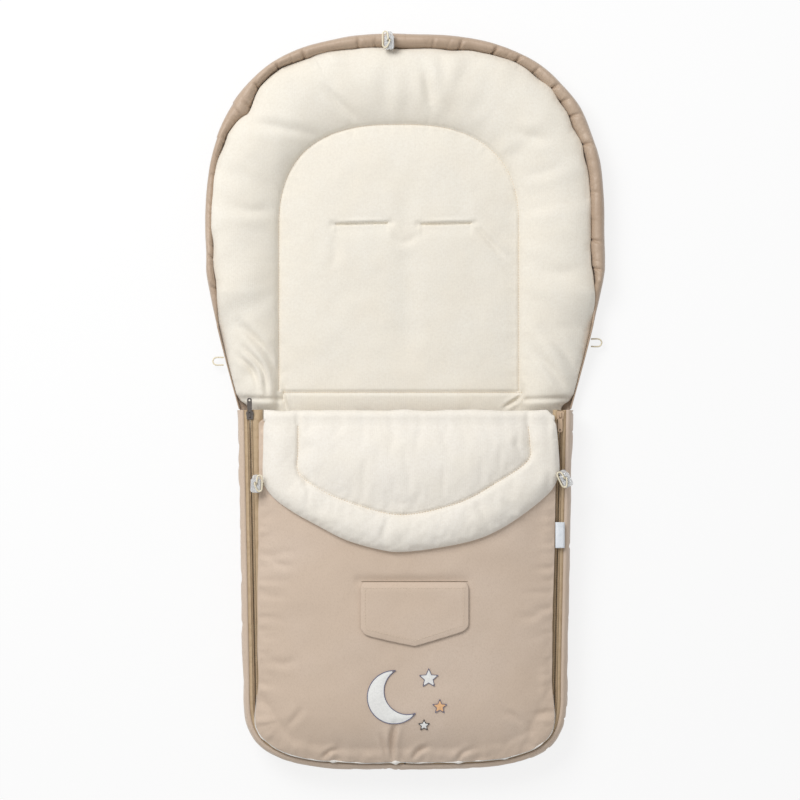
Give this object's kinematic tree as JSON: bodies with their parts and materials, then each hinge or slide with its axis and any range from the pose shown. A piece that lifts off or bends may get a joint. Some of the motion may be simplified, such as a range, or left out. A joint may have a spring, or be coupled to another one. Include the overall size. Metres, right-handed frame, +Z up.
{
  "type": "stroller footmuff",
  "caption": "Quilted fleece-lined stroller footmuff, laid open: a mat with a gathered hood, and a zipped leg bag whose front folds down, with zip sliders and cord locks.",
  "frame": {"origin": "on the ground under the middle of the open footmuff", "axes": "+Y towards the head end, +X towards the right side seen from above, +Z up from the back shell"},
  "size_m": [0.517, 0.9497, 0.0997],
  "materials": {
    "cloth": "beige cotton twill",
    "fleece": "cream fleece",
    "wadding": "polyester wadding, hidden",
    "zip_tape": "woven tape with nylon coil",
    "elastic": "cream round elastic and piping",
    "felt": "white felt",
    "tag": "white woven tape",
    "painted_zinc": "satin beige paint on zinc",
    "dark_nickel": "dark nickel plating",
    "clear_plastic": "clear moulded plastic",
    "spring_steel": "bright spring wire"
  },
  "bodies": {
    "bag": {"leg_shell": "cloth", "leg_wadding": "wadding", "leg_lining": "fleece", "gusset": "cloth", "front_lining": "fleece", "front_wadding": "wadding", "front_shell": "cloth", "zip_left_inner": "zip_tape", "zip_left_outer": "zip_tape", "zip_right_inner": "zip_tape", "zip_right_outer": "zip_tape", "foot_piping": "elastic", "pocket_welt": "cloth", "side_tag": "tag", "felt_moon": "felt", "felt_star_1": "felt", "felt_star_2": "felt", "felt_star_3": "felt"},
    "back": {"back_shell": "cloth", "back_wadding": "wadding", "back_lining": "fleece", "hood_rim_casing": "cloth", "hood_drawcord_left": "elastic", "hood_drawcord_right": "elastic", "hood_cord_loop": "elastic", "hood_lock_body": "clear_plastic", "hood_lock_spring": "spring_steel", "side_loop_left": "elastic", "side_loop_right": "elastic"},
    "flap": {"flap_shell": "cloth", "flap_wadding": "wadding", "flap_lining": "fleece", "flap_loop_left": "elastic", "flap_loop_right": "elastic", "flap_left_lock_body": "clear_plastic", "flap_left_lock_spring": "spring_steel", "flap_right_lock_body": "clear_plastic", "flap_right_lock_spring": "spring_steel"},
    "slider_left": {"zip_slider_left": "dark_nickel"},
    "slider_right": {"zip_slider_right": "painted_zinc"},
    "tab_left": {"zip_pull_left": "dark_nickel"},
    "tab_right": {"zip_pull_right": "painted_zinc"},
    "pocket_cover": {"pocket_flap": "cloth"},
    "hood_lock_button": {"hood_lock_plunger": "clear_plastic"},
    "left_lock_button": {"flap_left_lock_plunger": "clear_plastic"},
    "right_lock_button": {"flap_right_lock_plunger": "clear_plastic"}
  },
  "joints": [
    {"name": "back_bend", "type": "hinge", "parent": "bag", "child": "back", "pos_m": [0, 0.0077, 0.018], "axis": [-1, 0, 0], "range_deg": [-60, 0]},
    {"name": "flap_fold", "type": "hinge", "parent": "bag", "child": "flap", "pos_m": [0, -0.022, 0.0639], "axis": [-1, 0, 0], "range_deg": [0, 165]},
    {"name": "zip_slide_left", "type": "slide", "parent": "bag", "child": "slider_left", "axis": [0.0201, -0.9998, 0], "range_m": [0, 0.33]},
    {"name": "zip_slide_right", "type": "slide", "parent": "bag", "child": "slider_right", "axis": [-0.0201, -0.9998, 0], "range_m": [0, 0.33]},
    {"name": "tab_hinge_left", "type": "hinge", "parent": "slider_left", "child": "tab_left", "pos_m": [-0.19888, -0.018, 0.05345], "axis": [0.9998, 0.0201, 0], "range_deg": [0, 150]},
    {"name": "tab_hinge_right", "type": "hinge", "parent": "slider_right", "child": "tab_right", "pos_m": [0.19888, -0.018, 0.05345], "axis": [-0.9998, 0.0201, 0], "range_deg": [0, 150]},
    {"name": "pocket_hinge", "type": "hinge", "parent": "bag", "child": "pocket_cover", "pos_m": [0.012, -0.23, 0.0796], "axis": [-1, 0, 0], "range_deg": [0, 140]},
    {"name": "hood_lock_press", "type": "slide", "parent": "back", "child": "hood_lock_button", "axis": [0, -1, 0], "range_m": [0, 0.0015], "stiffness_N_per_m": 400, "springref_m": -0.002},
    {"name": "left_lock_press", "type": "slide", "parent": "flap", "child": "left_lock_button", "axis": [-0.0349, -0.9994, 0], "range_m": [0, 0.0015], "stiffness_N_per_m": 400, "springref_m": -0.002},
    {"name": "right_lock_press", "type": "slide", "parent": "flap", "child": "right_lock_button", "axis": [0.4226, -0.9063, 0], "range_m": [0, 0.0015], "stiffness_N_per_m": 400, "springref_m": -0.002}
  ]
}
